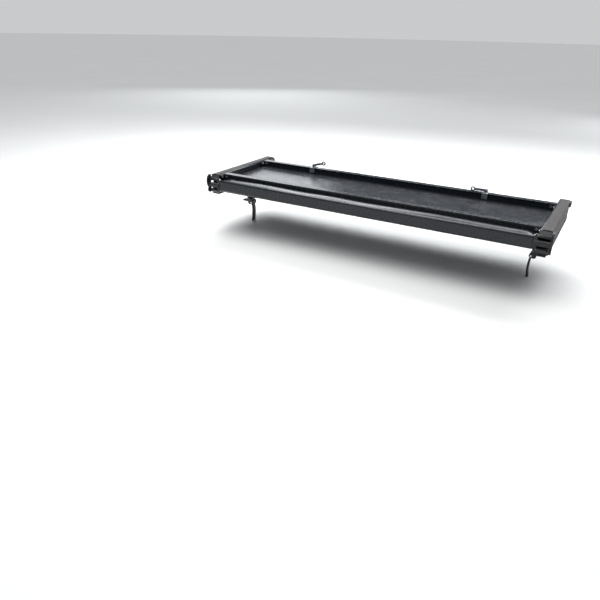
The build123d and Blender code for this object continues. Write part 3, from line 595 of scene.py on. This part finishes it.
def tape_strips(name, seed):
    """The hook and the loop tape between rail and hem, with slightly uneven edges."""
    low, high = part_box(f"{name}_hem_tape")
    rows = steps(low.y + TAPE_END, high.y - TAPE_END, round((high.y - low.y) / ROW))
    vertices, faces = [], []
    for side in (-1, 1):
        for layer in (0, 1):
            first = len(vertices)
            thick = (high.z - low.z) / 2
            z = low.z + thick * (layer + 0.5)
            for y in rows:
                uneven = TAPE_UNEVEN * noise.noise(Vector((y * 300, seed + layer, side)))
                outer = high.x - TAPE_OUTER_SHIFT * layer + uneven
                inner = high.x - TAPE_WIDTH + TAPE_INNER_SHIFT * layer + uneven
                for x in steps(inner, outer, 4):
                    sunk = TAPE_SUNK * thick * noise.noise(Vector((x * 400, y * 400, seed)))
                    vertices.append((side * x, y, z + sunk))
            faces += [tuple(first + i for i in face) for face in grid_faces(len(rows), 5, side > 0)]
    tape = make_piece(f"{name}_tape", vertices, faces, "hook_tape")
    thicken(tape, TAPE_CLOTH)
    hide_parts(f"{name}_hem_tape")
    return tape


# ---- Vinyl that crosses the folds ----

def ribbon(name, half, path, seed, wave):
    """A sheet across the cover along a path of (y, z) points, with a slight wave across it."""
    columns = steps(-half, half, round(2 * half / COLUMN))
    vertices = []
    for i, (y, z) in enumerate(path):
        ease = math.sin(math.pi * i / (len(path) - 1))
        for x in columns:
            sway = wave * ease * noise.noise(Vector((x * 9, i * 0.35, seed)))
            vertices.append((x, y + sway, z + sway * 0.5))
    faces = grid_faces(len(path), len(columns), flip=True)
    piece = make_piece(name, vertices, faces, "vinyl", "vinyl_inner")
    thicken(piece, FOLD_CLOTH, 1)
    length = sum(math.dist(a, b) for a, b in zip(path, path[1:]))
    return piece, (2 * half, length)


def bend_path(start, corner, end):
    """A smooth path of (y, z) points from start to end, drawn towards a corner."""
    path = []
    for t in steps(0, 1, BEND_STEPS):
        weights = ((1 - t) ** 2, 2 * t * (1 - t), t * t)
        path.append(tuple(sum(w * p[k] for w, p in zip(weights, (start, corner, end))) for k in (0, 1)))
    return path


# ---- Floor and light ----

def floor():
    """A pale studio floor just under the lowest point."""
    level = cad_low.z - FLOOR_GAP
    vertices = [(0.0, 0.0, level)]
    faces = []
    for ring in range(1, FLOOR_RINGS + 1):
        radius = FLOOR_REACH * (ring / FLOOR_RINGS) ** 2
        for spoke in range(FLOOR_SPOKES):
            angle = 2 * math.pi * spoke / FLOOR_SPOKES
            vertices.append((radius * math.cos(angle), radius * math.sin(angle), level))
    for spoke in range(FLOOR_SPOKES):
        faces.append((0, 1 + spoke, 1 + (spoke + 1) % FLOOR_SPOKES))
    for ring in range(FLOOR_RINGS - 1):
        for spoke in range(FLOOR_SPOKES):
            a = 1 + ring * FLOOR_SPOKES + spoke
            b = 1 + ring * FLOOR_SPOKES + (spoke + 1) % FLOOR_SPOKES
            faces.append((a, a + FLOOR_SPOKES, b + FLOOR_SPOKES, b))
    shader = Shader("studio_floor", Specular_IOR_Level=0.2)
    shader.colour(shader.mix(shader.noise(1.2, 5), (0.74, 0.74, 0.73), (0.80, 0.80, 0.79)))
    shader.rough(shader.spread(shader.noise(6, 5), 0.3, 0.7, 0.75, 0.9))
    shader.bump((shader.noise(80, 4), 0.05, 0.001))
    MATERIALS["floor"] = shader.material
    ground = make_piece("studio_floor", vertices, faces, "floor")


def softbox(name, place, target, width, height, power, tint):
    data = bpy.data.lights.new(name, "AREA")
    data.shape = "RECTANGLE"
    data.size, data.size_y = width, height
    data.energy = power
    data.color = tint
    lamp = bpy.data.objects.new(name, data)
    lamp.location = place
    lamp.rotation_euler = (Vector(target) - Vector(place)).to_track_quat("-Z", "Y").to_euler()
    bpy.context.scene.collection.objects.link(lamp)


def wide_sun(name, strength, degrees):
    """Even light from straight above."""
    data = bpy.data.lights.new(name, "SUN")
    data.energy = strength
    data.angle = math.radians(degrees)
    lamp = bpy.data.objects.new(name, data)
    bpy.context.scene.collection.objects.link(lamp)


def sky():
    """A pale backdrop to look at. What it lights and mirrors is dim near the horizon and bright above."""
    world = bpy.data.worlds.new("studio")
    world.use_nodes = True
    tree = world.node_tree
    nodes, links = tree.nodes, tree.links
    nodes.clear()
    output = nodes.new("ShaderNodeOutputWorld")
    path = nodes.new("ShaderNodeLightPath")
    place = nodes.new("ShaderNodeTexCoord")
    parts = nodes.new("ShaderNodeSeparateXYZ")
    ramp = nodes.new("ShaderNodeValToRGB")
    links.new(place.outputs["Generated"], parts.inputs["Vector"])
    links.new(parts.outputs["Z"], ramp.inputs["Fac"])
    ramp.color_ramp.elements[0].position = 0.0
    ramp.color_ramp.elements[0].color = (0.05, 0.06, 0.075, 1)
    ramp.color_ramp.elements[1].position = 0.75
    ramp.color_ramp.elements[1].color = (0.95, 0.98, 1.0, 1)
    middle = ramp.color_ramp.elements.new(0.3)
    middle.color = (0.15, 0.175, 0.21, 1)
    seen = nodes.new("ShaderNodeBackground")
    seen.inputs["Color"].default_value = (0.86, 0.87, 0.88, 1)
    seen.inputs["Strength"].default_value = 1.0
    lit = nodes.new("ShaderNodeBackground")
    lit.inputs["Strength"].default_value = 0.85
    links.new(ramp.outputs["Color"], lit.inputs["Color"])
    mix = nodes.new("ShaderNodeMixShader")
    links.new(path.outputs["Is Camera Ray"], mix.inputs["Fac"])
    links.new(lit.outputs["Background"], mix.inputs[1])
    links.new(seen.outputs["Background"], mix.inputs[2])
    links.new(mix.outputs["Shader"], output.inputs["Surface"])
    bpy.context.scene.world = world


def lights():
    for name, settings in SOFTBOXES.items():
        softbox(name, *settings)
    wide_sun("ceiling", CEILING_STRENGTH, CEILING_SPREAD)
    view = bpy.context.scene.view_settings
    view.view_transform = "Standard"
    view.exposure = EXPOSURE


# ---- Building ----

def panel(name, seed):
    """One panel's skin, with its stitches and its tape."""
    skin, flat = panel_skin(name, seed * 10.0)
    stitches = hem_stitches(name, seed * 1.7)
    tape = tape_strips(name, seed * 2.3)
    for piece in (skin, stitches, tape):
        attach(piece, f"{name}_panel")


def first_fold():
    """The vinyl runs up the cab side of the spacer, and turns in to the front and the middle panel."""
    low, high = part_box("fold_strip")
    front_low, front_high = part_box("front_vinyl")
    middle_low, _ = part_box("middle_vinyl")
    y = (low.y + high.y) / 2
    front_edge = (front_low.y + FOLD_LAP, front_high.z - CLOTH_INSET + CLOTH)
    middle_edge = (middle_low.y + FOLD_LAP, middle_low.z + CLOTH_INSET - CLOTH)
    low_end = (y, low.z)
    high_end = (y, high.z)

    straight = [(y, z) for z in steps(low.z, high.z, STRIP_ROWS)]
    strip, flat = ribbon("fold_skin_mid", high.x, straight, 5.5, 0.0)
    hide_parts("fold_strip")
    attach(strip, "fold_link")

    path = bend_path(front_edge, (y, front_edge[1]), low_end)
    lower, flat = ribbon("fold_skin_low", high.x, path, 6.5, FOLD_WAVE)
    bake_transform(lower)

    path = bend_path(high_end, (y, middle_edge[1]), middle_edge)
    upper, flat = ribbon("fold_skin_high", high.x, path, 7.5, FOLD_WAVE)
    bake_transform(upper)


def second_fold():
    """A slack loop between the middle and the rear panel, inboard of the knuckles."""
    middle_low, middle_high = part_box("middle_vinyl")
    _, rear_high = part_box("rear_vinyl")
    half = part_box("middle_crossbar_cab")[1].x - LOOP_INSET
    top = middle_low.z + CLOTH_INSET
    bottom = rear_high.z - CLOTH_INSET
    radius = (top - bottom) / 2
    loop_y = middle_high.y + LOOP_REACH
    path = [(y, top) for y in steps(middle_high.y, loop_y, LOOP_ROWS)]
    for turn in steps(90, -90, LOOP_TURNS)[1:]:
        angle = math.radians(turn)
        path.append((loop_y + radius * math.cos(angle), top - radius + radius * math.sin(angle)))
    path += [(y, bottom) for y in steps(loop_y, rear_high.y, LOOP_ROWS)[1:]]
    loop, flat = ribbon("second_fold_skin", half, path, 8.5, LOOP_WAVE)
    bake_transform(loop)


add_camera()
sky()
floor()
lights()
dress_nodes()
for seed, name in enumerate(PANELS, start=FIRST_SEED):
    panel(name, seed)
first_fold()
second_fold()
